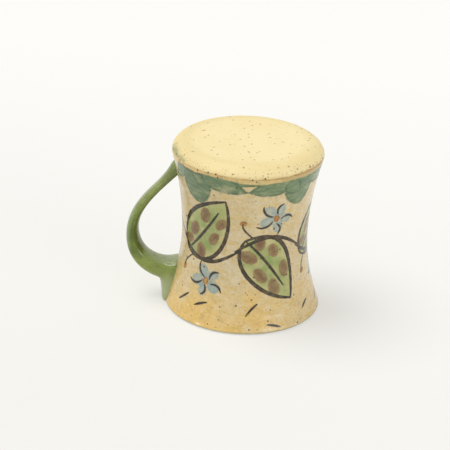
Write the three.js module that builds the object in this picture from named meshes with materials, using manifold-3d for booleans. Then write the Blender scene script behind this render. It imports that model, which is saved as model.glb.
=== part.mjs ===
// A hand-made stoneware mug with a waisted body and a pulled handle.
// It stands on its rim with its base up, as it is set down to dry. Sizes are in millimetres.
// Heights count up from the rim, radii from the mug's axis, and the handle points to -X.

import * as THREE from "three";
import { mergeVertices } from "three/addons/utils/BufferGeometryUtils.js";
import Module from "manifold-3d";

// Body
const MUG_HEIGHT = 100;
const RIM_RADIUS = 44.8;
const WAIST_RADIUS = 35.9;
const WAIST_HEIGHT = 44.7;
const SHOULDER_RADIUS = 42.8;
const FLARE_POWER = 1.95;
const WALL_THICKNESS = 4.2;
const LIP_HEIGHT = 1.2;
const LIP_FLAT_WIDTH = 1.2;

// Base
const BASE_THICKNESS = 5;
const EDGE_HEIGHT = 7;
const EDGE_ROUNDING = 8;
const COIL_SIZE = 5;

// Handle, from the end near the base to the end near the rim
const HANDLE_REACH = 25.4;
const OUTERMOST_HEIGHT = 39.9;
const BASE_END_BELOW_BASE = 19.7;
const BASE_END_SLOPE = THREE.MathUtils.degToRad(-51.8);
const BASE_END_PULL = 16.8;
const UPPER_PULL = 16.1;
const LOWER_PULL = 18.7;
const RIM_END_PULL = 10;
const RIM_END_SLOPE = THREE.MathUtils.degToRad(-7.8);
const RIM_END_HEIGHT = 17.5;
const BASE_END_SECTION = { breadth: 10, thickness: 3.6 };
const OUTERMOST_SECTION = { breadth: 12.2, thickness: 5.9 };
const RIM_END_SECTION = { breadth: 14.2, thickness: 12.7 };
const SECTION_POWER = 2.3;

// Clay worked round the ends of the handle
const COLLAR_THICKNESS = 0.7;
const PAD_THICKNESS = 1;
const BASE_COLLAR_LENGTH = 6;
const BASE_COLLAR_SPREAD = 1.2;
const RIM_COLLAR_LENGTH = 9;
const RIM_COLLAR_SPREAD = 0.6;
const TAIL_END_HEIGHT = 1;
const TAIL_HALF_WIDTH = 14;
const TAIL_TAPER = 0.46;
const TAIL_PROUD = 5;

// Coats and clearances
const GLAZE_THICKNESS = 0.4;
const COAT_GAP = 0.1;
const SLIP_GAP = 0.3;

// Fineness
const ROUND_STEPS = 40;
const WALL_STEPS = 10;
const CURVE_STEPS = 5;
const HANDLE_STEPS = 13;
const COLLAR_STEPS = 5;
const SECTION_SIDES = 12;

const SEAM_HEIGHT = MUG_HEIGHT - BASE_THICKNESS;
const SHOULDER_HEIGHT = MUG_HEIGHT - EDGE_HEIGHT;
const WALL_TOP = SEAM_HEIGHT - SLIP_GAP;
const EMBED_DEPTH = 2 * WALL_THICKNESS;

const wasm = await Module();
wasm.setup();

// The wall's surfaces, as radii at a height. It flares both ways from its waist,
// and above its shoulder the outside turns in with the rounded edge of the base.
function flareRadius(height) {
  const towardsRim = height < WAIST_HEIGHT;
  const widest = towardsRim ? RIM_RADIUS : SHOULDER_RADIUS;
  const widestHeight = towardsRim ? LIP_HEIGHT : SHOULDER_HEIGHT;
  const share = (height - WAIST_HEIGHT) / (widestHeight - WAIST_HEIGHT);
  return WAIST_RADIUS + (widest - WAIST_RADIUS) * Math.min(share, 1) ** FLARE_POWER;
}

function outerRadius(height) {
  const rise = Math.max(height - SHOULDER_HEIGHT, 0) / EDGE_HEIGHT;
  return flareRadius(height) - EDGE_ROUNDING * (1 - Math.sqrt(1 - rise ** 2));
}

function clayRadius(height) {
  return outerRadius(height) - GLAZE_THICKNESS - COAT_GAP;
}

function innerRadius(height) {
  return flareRadius(height) - GLAZE_THICKNESS - COAT_GAP - WALL_THICKNESS;
}

// Evenly spaced values, both ends included
function spread(from, to, steps) {
  return Array.from({ length: steps + 1 }, (_, i) => from + ((to - from) * i) / steps);
}

const WALL_HEIGHTS = [...spread(LIP_HEIGHT, SHOULDER_HEIGHT, WALL_STEPS), WALL_TOP];
const QUARTER_TURN = spread(0, Math.PI / 2, CURVE_STEPS);

function profile(heights, radiusAt) {
  return heights.map((height) => new THREE.Vector2(radiusAt(height), height));
}

// A round piece, turned from a profile that runs up its outside
function turned(points) {
  return new THREE.LatheGeometry(points, ROUND_STEPS).rotateX(Math.PI / 2);
}

function ringPiece(points) {
  return turned([...points, points[0].clone()]);
}

// Closed meshes as solids that can be joined and cut, and back
function solidOf(geometry) {
  const bare = geometry.clone();
  bare.deleteAttribute("normal");
  bare.deleteAttribute("uv");
  const merged = mergeVertices(bare, 1e-4);
  const vertProperties = merged.attributes.position.array;
  const triVerts = new Uint32Array(merged.index.array);
  return new wasm.Manifold(new wasm.Mesh({ numProp: 3, vertProperties, triVerts }));
}

function geometryOf(solid) {
  const mesh = solid.getMesh();
  const geometry = new THREE.BufferGeometry();
  geometry.setAttribute("position", new THREE.BufferAttribute(mesh.vertProperties, 3));
  geometry.setIndex(new THREE.BufferAttribute(mesh.triVerts, 1));
  geometry.computeVertexNormals();
  return geometry;
}

// A solid skinned over rings of points, which run anticlockwise seen from the last ring
function loft(rings) {
  const sides = rings[0].length;
  const last = rings.length - 1;
  const corners = rings.flat();
  const faces = [];
  for (let ring = 0; ring < last; ring += 1) {
    for (let side = 0; side < sides; side += 1) {
      const a = ring * sides + side;
      const b = ring * sides + ((side + 1) % sides);
      faces.push(a, b, b + sides);
      faces.push(a, b + sides, a + sides);
    }
  }
  for (let side = 1; side < sides - 1; side += 1) {
    const end = last * sides;
    faces.push(0, side + 1, side);
    faces.push(end, end + side, end + side + 1);
  }
  const geometry = new THREE.BufferGeometry().setFromPoints(corners);
  return geometry.setIndex(faces);
}

// Body wall: a thrown tube with a rounded lip and a narrow flat to stand on
function bodyWall() {
  const lipRadius = (WALL_THICKNESS - LIP_FLAT_WIDTH) / 2;
  const lipMiddle = clayRadius(LIP_HEIGHT) - WALL_THICKNESS / 2;
  const lipPoint = (side, angle) => {
    const radius = lipMiddle + side * (LIP_FLAT_WIDTH / 2 + lipRadius * Math.cos(angle));
    return new THREE.Vector2(radius, LIP_HEIGHT * (1 - Math.sin(angle)));
  };
  const outside = profile(WALL_HEIGHTS, clayRadius);
  const inside = profile(WALL_HEIGHTS.toReversed(), innerRadius);
  const innerLip = QUARTER_TURN.slice(1).map((angle) => lipPoint(-1, angle));
  const outerLip = QUARTER_TURN.slice(1).map((angle) => lipPoint(1, angle)).toReversed();
  return ringPiece([...outside, ...inside, ...innerLip, ...outerLip]);
}

// Base: a flat disc whose edge is softened with a wet finger
function baseSlab() {
  const flatRadius = SHOULDER_RADIUS - EDGE_ROUNDING;
  const seamAngle = Math.asin((SEAM_HEIGHT - SHOULDER_HEIGHT) / EDGE_HEIGHT);
  const edge = spread(seamAngle, Math.PI / 2, CURVE_STEPS).map(
    (angle) =>
      new THREE.Vector2(
        flatRadius + EDGE_ROUNDING * Math.cos(angle),
        SHOULDER_HEIGHT + EDGE_HEIGHT * Math.sin(angle),
      ),
  );
  return turned([new THREE.Vector2(0, SEAM_HEIGHT), ...edge, new THREE.Vector2(0, MUG_HEIGHT)]);
}

// The hollow curve of the coil that seals the inside corner, moved into the mug by an inset
const COIL_BOTTOM = WALL_TOP - COIL_SIZE;

function coilCurve(inset) {
  const centre = new THREE.Vector2(innerRadius(COIL_BOTTOM) - SLIP_GAP - COIL_SIZE, COIL_BOTTOM);
  const radius = COIL_SIZE - inset;
  return QUARTER_TURN.map(
    (angle) =>
      new THREE.Vector2(centre.x + radius * Math.cos(angle), centre.y + radius * Math.sin(angle)),
  );
}

function baseSeamCoil() {
  const curve = coilCurve(0);
  const corner = new THREE.Vector2(innerRadius(WALL_TOP) - SLIP_GAP, WALL_TOP);
  return ringPiece([corner, ...curve.toReversed()]);
}

// Glaze inside the mug: one coat over the wall, the coil and the floor
function linerGlaze() {
  const coatAt = (inset) => {
    const heights = WALL_HEIGHTS.filter((height) => height < COIL_BOTTOM - inset);
    const wall = profile(heights, (height) => innerRadius(height) - inset);
    const floor = new THREE.Vector2(0, WALL_TOP - inset);
    return [...wall, ...coilCurve(inset), floor];
  };
  const outside = coatAt(COAT_GAP);
  const inside = coatAt(COAT_GAP + GLAZE_THICKNESS);
  return turned([...inside.toReversed(), ...outside]);
}

// Handle centre line, drawn in its own plane as radius and height
function inHandlePlane(radius, height) {
  return new THREE.Vector3(-radius, 0, height);
}

function handleCurves() {
  const baseEndHeight = MUG_HEIGHT - BASE_END_BELOW_BASE;
  const baseEnd = inHandlePlane(clayRadius(baseEndHeight), baseEndHeight);
  const rimEnd = inHandlePlane(clayRadius(RIM_END_HEIGHT), RIM_END_HEIGHT);
  const outermost = inHandlePlane(HANDLE_REACH, OUTERMOST_HEIGHT - RIM_END_HEIGHT).add(rimEnd);
  const outFrom = (point, slope, pull) =>
    inHandlePlane(pull * Math.cos(slope), pull * Math.sin(slope)).add(point);
  const upper = new THREE.CubicBezierCurve3(
    baseEnd,
    outFrom(baseEnd, BASE_END_SLOPE, BASE_END_PULL),
    inHandlePlane(0, UPPER_PULL).add(outermost),
    outermost,
  );
  const lower = new THREE.CubicBezierCurve3(
    outermost,
    inHandlePlane(0, -LOWER_PULL).add(outermost),
    outFrom(rimEnd, RIM_END_SLOPE, RIM_END_PULL),
    rimEnd,
  );
  return { upper, lower };
}

const { upper: UPPER_ARM, lower: LOWER_ARM } = handleCurves();

// The handle's section at a share of one arm: slim along the upper arm, then steadily fuller
function sectionAt(arm, share) {
  const isUpper = arm === UPPER_ARM;
  const first = isUpper ? BASE_END_SECTION : OUTERMOST_SECTION;
  const last = isUpper ? OUTERMOST_SECTION : RIM_END_SECTION;
  const growth = isUpper ? share ** 2 : share;
  return {
    centre: arm.getPointAt(share),
    along: arm.getTangentAt(share),
    halfBreadth: THREE.MathUtils.lerp(first.breadth, last.breadth, growth) / 2,
    halfThickness: THREE.MathUtils.lerp(first.thickness, last.thickness, growth) / 2,
  };
}

function softPower(value) {
  return Math.sign(value) * Math.abs(value) ** (2 / SECTION_POWER);
}

// An oval ring across a section, grown all round by a margin
function ovalRing(section, margin) {
  const across = new THREE.Vector3(0, 1, 0);
  const outwards = new THREE.Vector3().crossVectors(section.along, across);
  return Array.from({ length: SECTION_SIDES }, (_, side) => {
    const angle = (2 * Math.PI * side) / SECTION_SIDES;
    const breadth = (section.halfBreadth + margin) * softPower(Math.cos(angle));
    const thickness = (section.halfThickness + margin) * softPower(Math.sin(angle));
    return section.centre
      .clone()
      .addScaledVector(outwards, thickness)
      .addScaledVector(across, breadth);
  });
}

// A section carried straight on past an arm's end, into the wall
function carriedOn(section, distance) {
  return { ...section, centre: section.centre.clone().addScaledVector(section.along, distance) };
}

function handleLoft(margin) {
  const shares = spread(0, 1, HANDLE_STEPS);
  const sections = [
    carriedOn(sectionAt(UPPER_ARM, 0), -EMBED_DEPTH),
    ...shares.map((share) => sectionAt(UPPER_ARM, share)),
    ...shares.slice(1).map((share) => sectionAt(LOWER_ARM, share)),
    carriedOn(sectionAt(LOWER_ARM, 1), EMBED_DEPTH),
  ];
  return solidOf(loft(sections.map((section) => ovalRing(section, margin))));
}

// The inside of the wall as a plug, grown outwards by a margin, for cutting what meets the wall
function wallPlug(margin) {
  const below = new THREE.Vector2(clayRadius(LIP_HEIGHT) + margin, -LIP_HEIGHT);
  const side = profile(WALL_HEIGHTS, (height) => clayRadius(height) + margin);
  const bottom = new THREE.Vector2(0, below.y);
  const top = new THREE.Vector2(0, WALL_TOP);
  return solidOf(turned([bottom, below, ...side, top]));
}

// Collars: clay that thickens smoothly from the handle towards the wall
function collarLoft(arm, length, widening, margin) {
  const startsAtWall = arm === UPPER_ARM;
  const shareAt = (toWall) => {
    const fromWall = ((1 - toWall) * length) / arm.getLength();
    return startsAtWall ? fromWall : 1 - fromWall;
  };
  const grown = spread(0, 1, COLLAR_STEPS).map((toWall) => {
    const ease = COLLAR_THICKNESS + widening * toWall ** 2 + margin;
    return { section: sectionAt(arm, shareAt(toWall)), ease };
  });
  const atWall = grown[COLLAR_STEPS];
  const inwards = startsAtWall ? -EMBED_DEPTH : EMBED_DEPTH;
  grown.push({ section: carriedOn(atWall.section, inwards), ease: atWall.ease });
  if (startsAtWall) {
    grown.reverse();
  }
  return solidOf(loft(grown.map(({ section, ease }) => ovalRing(section, ease))));
}

// The tail below the rim end: a thumb-wiped tongue that hugs the wall and fades out at the rim.
// It is widest near the rim, and narrow enough at its top to lie within the collar.
function tailLoft(margin) {
  const bottom = TAIL_END_HEIGHT - margin;
  const rings = QUARTER_TURN.map((angle) => {
    const climb = 1 - Math.cos(angle);
    const height = THREE.MathUtils.lerp(bottom, RIM_END_HEIGHT, climb);
    const fullness = Math.cbrt(Math.sin(angle)) * (1 - TAIL_TAPER * climb);
    const halfWidth = PAD_THICKNESS + TAIL_HALF_WIDTH * fullness + margin;
    const proud = PAD_THICKNESS + TAIL_PROUD * Math.sin(angle) + margin;
    const wall = clayRadius(height);
    const hollow = wall - Math.sqrt(wall ** 2 - halfWidth ** 2);
    return Array.from({ length: SECTION_SIDES }, (_, side) => {
      const turn = (2 * Math.PI * side) / SECTION_SIDES;
      const radius = wall - hollow + (proud + hollow) * Math.cos(turn);
      return new THREE.Vector3(-radius, -halfWidth * Math.sin(turn), height);
    });
  });
  return solidOf(loft(rings));
}

function baseEndBlank(margin) {
  return collarLoft(UPPER_ARM, BASE_COLLAR_LENGTH, BASE_COLLAR_SPREAD, margin);
}

function rimEndBlank(margin) {
  const collar = collarLoft(LOWER_ARM, RIM_COLLAR_LENGTH, RIM_COLLAR_SPREAD, margin);
  return collar.add(tailLoft(margin));
}

const socketed = handleLoft(SLIP_GAP).subtract(wallPlug(PAD_THICKNESS));

function seatedEnd(blank) {
  return geometryOf(blank.subtract(wallPlug(SLIP_GAP)).subtract(socketed));
}

function handleStrap() {
  return geometryOf(handleLoft(0).subtract(wallPlug(PAD_THICKNESS + SLIP_GAP)));
}

// Glaze outside: a coat on the wall, let out round the ends of the handle
function wallGlaze() {
  const inside = profile(WALL_HEIGHTS.toReversed(), (height) => clayRadius(height) + COAT_GAP);
  const coat = ringPiece([...profile(WALL_HEIGHTS, outerRadius), ...inside]);
  const bare = solidOf(coat).subtract(baseEndBlank(SLIP_GAP));
  return geometryOf(bare.subtract(rimEndBlank(SLIP_GAP)));
}

// Glaze on the handle, from one collar to the other
function handleGlaze() {
  const coat = handleLoft(COAT_GAP + GLAZE_THICKNESS).subtract(handleLoft(COAT_GAP));
  const free = coat.subtract(baseEndBlank(SLIP_GAP)).subtract(rimEndBlank(SLIP_GAP));
  return geometryOf(free.subtract(wallPlug(PAD_THICKNESS)));
}

function piece(name, geometry, color, roughness) {
  const material = new THREE.MeshStandardMaterial({ color, roughness, metalness: 0 });
  const mesh = new THREE.Mesh(geometry, material);
  mesh.name = name;
  return mesh;
}

const CLAY = "#e0c796";
const CREAM = "#f5e3ae";
const BUFF_GLAZE = "#d0ba8c";
const GREEN_GLAZE = "#7f8f52";

const mug = new THREE.Group();
mug.add(
  piece("body_wall", bodyWall(), CLAY, 0.7),
  piece("base_slab", baseSlab(), CREAM, 0.6),
  piece("base_seam_coil", baseSeamCoil(), CLAY, 0.7),
  piece("handle_strap", handleStrap(), CLAY, 0.7),
  piece("rim_end_joint", seatedEnd(rimEndBlank(0)), GREEN_GLAZE, 0.2),
  piece("base_end_joint", seatedEnd(baseEndBlank(0)), GREEN_GLAZE, 0.2),
  piece("liner_glaze", linerGlaze(), CREAM, 0.2),
  piece("wall_glaze", wallGlaze(), BUFF_GLAZE, 0.2),
  piece("handle_glaze", handleGlaze(), GREEN_GLAZE, 0.2),
);

// The frame's origin lies on the floor, below the middle of the mug's box
const middle = new THREE.Box3().setFromObject(mug, true).getCenter(new THREE.Vector3());
mug.position.x = -middle.x;

const part = new THREE.Group();
part.add(mug);

export default part;
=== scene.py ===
import math
from typing import NamedTuple

import bpy
import numpy as np
from mathutils import Matrix, Vector


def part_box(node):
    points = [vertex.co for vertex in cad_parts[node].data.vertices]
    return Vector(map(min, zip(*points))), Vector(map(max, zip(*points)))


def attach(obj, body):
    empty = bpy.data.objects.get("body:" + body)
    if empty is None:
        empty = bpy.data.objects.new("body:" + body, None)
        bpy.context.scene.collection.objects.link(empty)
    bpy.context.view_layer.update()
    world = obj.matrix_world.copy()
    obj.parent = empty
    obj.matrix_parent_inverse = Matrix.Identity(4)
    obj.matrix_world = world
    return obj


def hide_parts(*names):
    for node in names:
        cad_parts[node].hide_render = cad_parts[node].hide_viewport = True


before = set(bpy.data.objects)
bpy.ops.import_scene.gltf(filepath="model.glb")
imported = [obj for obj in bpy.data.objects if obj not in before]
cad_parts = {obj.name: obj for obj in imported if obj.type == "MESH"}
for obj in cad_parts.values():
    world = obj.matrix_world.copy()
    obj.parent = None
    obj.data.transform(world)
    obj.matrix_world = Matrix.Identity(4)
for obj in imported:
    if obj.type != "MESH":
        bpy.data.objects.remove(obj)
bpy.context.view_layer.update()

# Sizes below are in millimetres, as radii from the mug's axis and heights above the rim.
MM = 0.001

# Body, read from the frame where the frame has it
wall_low, wall_high = (np.array(corner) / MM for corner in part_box("wall_glaze"))
base_low, base_high = (np.array(corner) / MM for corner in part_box("base_slab"))
AXIS_X = (base_low[0] + base_high[0]) / 2
MUG_HEIGHT = base_high[2]
RIM_RADIUS = (wall_high[1] - wall_low[1]) / 2
LIP_HEIGHT = wall_low[2]
WALL_TOP = wall_high[2]
WAIST_RADIUS = 35.9
WAIST_HEIGHT = 44.7
SHOULDER_RADIUS = 42.8
FLARE_POWER = 1.95
EDGE_HEIGHT = 7.0
EDGE_ROUNDING = 8.0
SHOULDER_HEIGHT = MUG_HEIGHT - EDGE_HEIGHT
COAT_DEPTH = 0.5
WALL_DEPTH = 4.7
LINER_DEPTH = 0.4
LINER_GAP = 0.1
LINER_TAPER = 4.0
COIL_SIZE = 5.0

# The hand's marks in the clay
SLOW_WOBBLE = 0.09
THROWING_DEPTH = 0.035
THROWING_PITCH = 6.3
LESSER_WAVE = 0.6
TRUE_RIM_HEIGHTS = (14.0, 2.0)
BASE_UNEVENNESS = 0.1
BASE_BUMP_SIZE = 9.0
SHARP_EDGE = 0.05

# Handle: centre line, sections over the glaze, and the clay worked round its ends
OUTERMOST_RADIUS = 64.35
OUTERMOST_HEIGHT = 39.9
BASE_END_HEIGHT = 80.3
BASE_END_SLOPE = math.radians(-51.8)
RIM_END_HEIGHT = 17.5
RIM_END_SLOPE = math.radians(-7.8)
BASE_END_PULL = 16.8
UPPER_PULL = 16.1
LOWER_PULL = 18.7
RIM_END_PULL = 10.0
BASE_END_SECTION = (11.0, 4.6)
OUTERMOST_SECTION = (13.2, 6.9)
RIM_END_SECTION = (15.2, 12.6)
ROUND_SECTION = 2.3
SQUARE_SECTION = 3.2
EMBED_DEPTH = 2.5
SEAT_DEPTH = 0.25
BASE_COLLAR_REACH = 14.0
BASE_COLLAR_SPREAD = 0.6
BASE_COLLAR_RISE = 1.5
RIM_COLLAR_REACH = 9.0
RIM_COLLAR_SPREAD = 1.6
RIM_COLLAR_DROP = 1.0
TAIL_HEIGHTS = (0.6, 21.5)
TAIL_HALF_WIDTHS = (12.8, 8.4)
TAIL_PROUD = (1.9, 11.5)
TAIL_START = 0.05
FOOT_WIDTH_POWER = 0.08
FOOT_PROUD_POWER = 0.2
LOOP_MIDDLE = (48.0, 45.0)
HANDLE_VOXEL = 0.5
HANDLE_SMOOTHING = 12
SMOOTHING_IN = 0.5
SWELLING_OUT = 0.53
CREASE_FILLING = 90
FILLING_SHARE = 0.5

# How finely the meshes are cut
WALL_COLUMNS = 440
WALL_ROWS = 180
INNER_ROWS = 8
LIP_ROWS = 9
LINER_COLUMNS = 160
LINER_ROWS = 60
CORNER_ROWS = 10
FLOOR_ROWS = 12
FLOOR_CENTRE = 0.02
BASE_COLUMNS = 220
EDGE_ROWS = 26
FACE_ROWS = 30
FACE_CENTRE = 0.5
PATH_STEPS = 44
HANDLE_COLUMNS = 40
TAIL_ROWS = 16
TAIL_COLUMNS = 32

# Camera, fitted to the photograph's framing
CAMERA_DISTANCE = 1000.0
CAMERA_AZIMUTH = math.radians(4.0)
CAMERA_ELEVATION = math.radians(24.74)
CAMERA_ROLL = math.radians(2.35)
CAMERA_RIGHT = -11.41
CAMERA_UP = -2.43
CAMERA_LENS = 140.4
SENSOR_WIDTH = 36.0

# Light: a bright room, a broad soft key from the upper left and a low panel that fills the right;
# lamps' places and sizes are in metres
AMBIENT = 0.5
KEY_STRENGTH = 1.75
KEY_SPREAD = math.radians(40)
KEY_FROM = (-0.48, 0.06, 1.0)
FILL_FROM = (0.9, -0.7, 0.36)
FILL_SIZE = (0.7, 0.4)
FILL_POWER = 3.15
GLINT_FROM = (-1.0, -0.6, 0.3)
GLINT_SIZE = (0.12, 0.12)
GLINT_POWER = 0.5
FLOOR_REACH = 3.0
FLOOR_GLOW = 0.55
FLOOR_BRIGHTENS = (-130.0, 420.0)
FLOOR_ROUGHNESS = 0.9

# Brushed decoration, laid out on the unrolled wall; places are beside and above each motif's middle
UNROLLED_RADIUS = 38.0
FAR_AWAY = 6.0
DRAW_SEED = 11
HANDLE_TURN = 1.5 * math.pi
VINE_HEIGHT = 47.0
VINE_SWING = 9.0
VINE_WAVES = 3
VINE_START = 0.45
VINE_OVERLAP = 1.04
VINE_WIDTH = 2.3
VINE_STEPS = 30
VINE_BARE_TURN = 0.4
LEAF_BASE = (-15.0, 7.0)
LEAF_TIP = (15.0, -30.0)
LEAF_WIDTH = 30.0
LEAF_BEND = 3.0
LEAF_LINE_WIDTHS = (2.6, 2.4, 1.8)
LEAF_LEFT_DABS = (3, 6, 10)
LEAF_RIGHT_DABS = (4, 8, 11)
FLOWER_PLACE = (4.0, 20.5)
FLOWER_SIZE = 9.0
PETALS = 5
BUD_PLACE = (-15.0, 18.0)
BUD_SIZE = (4.2, 3.4)
BUD_STALK_START = (-9.0, 8.0)
BUD_STALK_WIDTH = 1.2
FLICKS = 12
FLICK_WIDTH = 1.4
STROKE_TIP = 0.45
STROKE_FULLNESS = 0.6
STROKE_MARGIN = 2.0
PATCH_MARGIN = 4.0
OUTLINE_STEPS = 16
OVAL_STEPS = 20
PETAL_FLICK_STEPS = 10
BUD_STALK_STEPS = 10
FLICK_STEPS = 9
BORDER_GROUPS = 4
BORDER_START = 0.55
BORDER_TOP = WALL_TOP - 2.7
BORDER_DIP = 7.0
BORDER_EDGE = BORDER_TOP - 0.6
BORDER_EDGE_STEPS = 12
BORDER_BARE_TURN = 0.5
BORDER_BARE_TAPER = 0.016
LINE_HEIGHT = WALL_TOP - 1.2
LINE_DIP = 1.5
LINE_DIP_TURN = 0.17
LINE_DIP_POWER = 16
LINE_SWING = 0.8
SLIP_END = WALL_TOP - 0.7

# Smudges on the base's edge: turn and height over the wall's top, then length and width
SMUDGES = (((-1.25, 0.7), (15.0, 3.6)), ((-1.0, 0.3), (8.0, 2.4)))


def srgb(code):
    """A colour written as in a paint box, as linear light with alpha."""
    parts = [int(code[i : i + 2], 16) / 255 for i in (1, 3, 5)]
    light = [c / 12.92 if c <= 0.04045 else ((c + 0.055) / 1.055) ** 2.4 for c in parts]
    return (*light, 1.0)


# Shape of the wall


def flare_radius(height):
    """Radius of the wall as it flares both ways from its waist."""
    towards_rim = height < WAIST_HEIGHT
    widest = np.where(towards_rim, RIM_RADIUS, SHOULDER_RADIUS)
    widest_height = np.where(towards_rim, LIP_HEIGHT, SHOULDER_HEIGHT)
    share = np.minimum((height - WAIST_HEIGHT) / (widest_height - WAIST_HEIGHT), 1)
    return WAIST_RADIUS + (widest - WAIST_RADIUS) * share**FLARE_POWER


def outer_radius(height):
    """Radius of the glazed outside, which turns in over the shoulder with the base's edge."""
    rise = np.clip((height - SHOULDER_HEIGHT) / EDGE_HEIGHT, 0, 1)
    return flare_radius(height) - EDGE_ROUNDING * (1 - np.sqrt(1 - rise**2))


def smooth_step(value, low, high):
    share = np.clip((value - low) / (high - low), 0, 1)
    return share * share * (3 - 2 * share)


def wobble(angle, height):
    """How far the hand-thrown wall strays from the true round, never outwards at the rim."""
    slow = np.sin(2 * angle + 0.7) + LESSER_WAVE * np.sin(3 * angle + 2.1 + height / 40)
    turns = 2 * math.pi * height / THROWING_PITCH
    rings = np.sin(turns + 0.5 * np.sin(angle + 1))
    finer_rings = np.sin(turns / LESSER_WAVE + 0.4 * np.sin(2 * angle))
    fine = rings + LESSER_WAVE * finer_rings
    peak = (1 + LESSER_WAVE) * (SLOW_WOBBLE + THROWING_DEPTH)
    return SLOW_WOBBLE * slow + THROWING_DEPTH * fine - peak * smooth_step(height, *TRUE_RIM_HEIGHTS)


def full_turn(steps):
    return np.linspace(0, 2 * math.pi, steps, endpoint=False)


def turned(profile, columns, unevenness):
    """Points of a surface turned about the mug's axis, a row for each (radius, height)."""
    angle = full_turn(columns)[None, :]
    radius = profile[:, :1] + unevenness * wobble(angle, profile[:, 1:])
    height = np.broadcast_to(profile[:, 1:], radius.shape)
    x = AXIS_X + radius * np.sin(angle)
    y = -radius * np.cos(angle)
    return np.stack([x, y, height], axis=-1)


# Meshes


def signed_volume(points, faces):
    corners = points[np.array(faces)[:, :3]]
    return np.einsum("ij,ij->i", corners[:, 0], np.cross(corners[:, 1], corners[:, 2])).sum()


def new_object(name, data):
    made = bpy.data.objects.new(name, data)
    bpy.context.scene.collection.objects.link(made)
    return made


def finish_piece(name, points, faces, nodes, material):
    """Makes one smooth piece that rides on the mug and stands for these nodes."""
    mesh = bpy.data.meshes.new(name)
    mesh.from_pydata((points * MM).tolist(), [], faces)
    mesh.shade_smooth()
    mesh.materials.append(material)
    piece = new_object(name, mesh)
    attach(piece, "root")
    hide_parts(*nodes)
    return piece


def add_field(piece, name, values):
    """Gives each point of the piece a number that its material reads."""
    piece.data.attributes.new(name, "FLOAT", "POINT").data.foreach_set("value", values)


def grid_faces(rows, columns, wrap_rows):
    index = np.arange(rows * columns).reshape(rows, columns)
    lower = index if wrap_rows else index[:-1]
    upper = np.roll(index, -1, axis=0) if wrap_rows else index[1:]
    corners = [lower, np.roll(lower, -1, axis=1), np.roll(upper, -1, axis=1), upper]
    return np.stack(corners, axis=-1).reshape(-1, 4)


def capped_surface(grid):
    """Points and faces of a body made of rings of points, closed at both ends."""
    rows, columns, _ = grid.shape
    points = np.concatenate([grid.reshape(-1, 3), grid[[0, -1]].mean(axis=1)])
    quads = grid_faces(rows, columns, False)
    first, last = rows * columns, rows * columns + 1
    ring = np.arange(columns)
    after = np.roll(ring, -1)
    top = (rows - 1) * columns
    ends = [(first, b, a) for a, b in zip(ring, after)]
    ends += [(last, top + a, top + b) for a, b in zip(ring, after)]
    if signed_volume(points, quads) < 0:
        quads = quads[:, ::-1]
        ends = [end[::-1] for end in ends]
    return points, quads.tolist() + [tuple(map(int, end)) for end in ends]


# Node helpers

SPECK_CORE = 0.55


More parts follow.
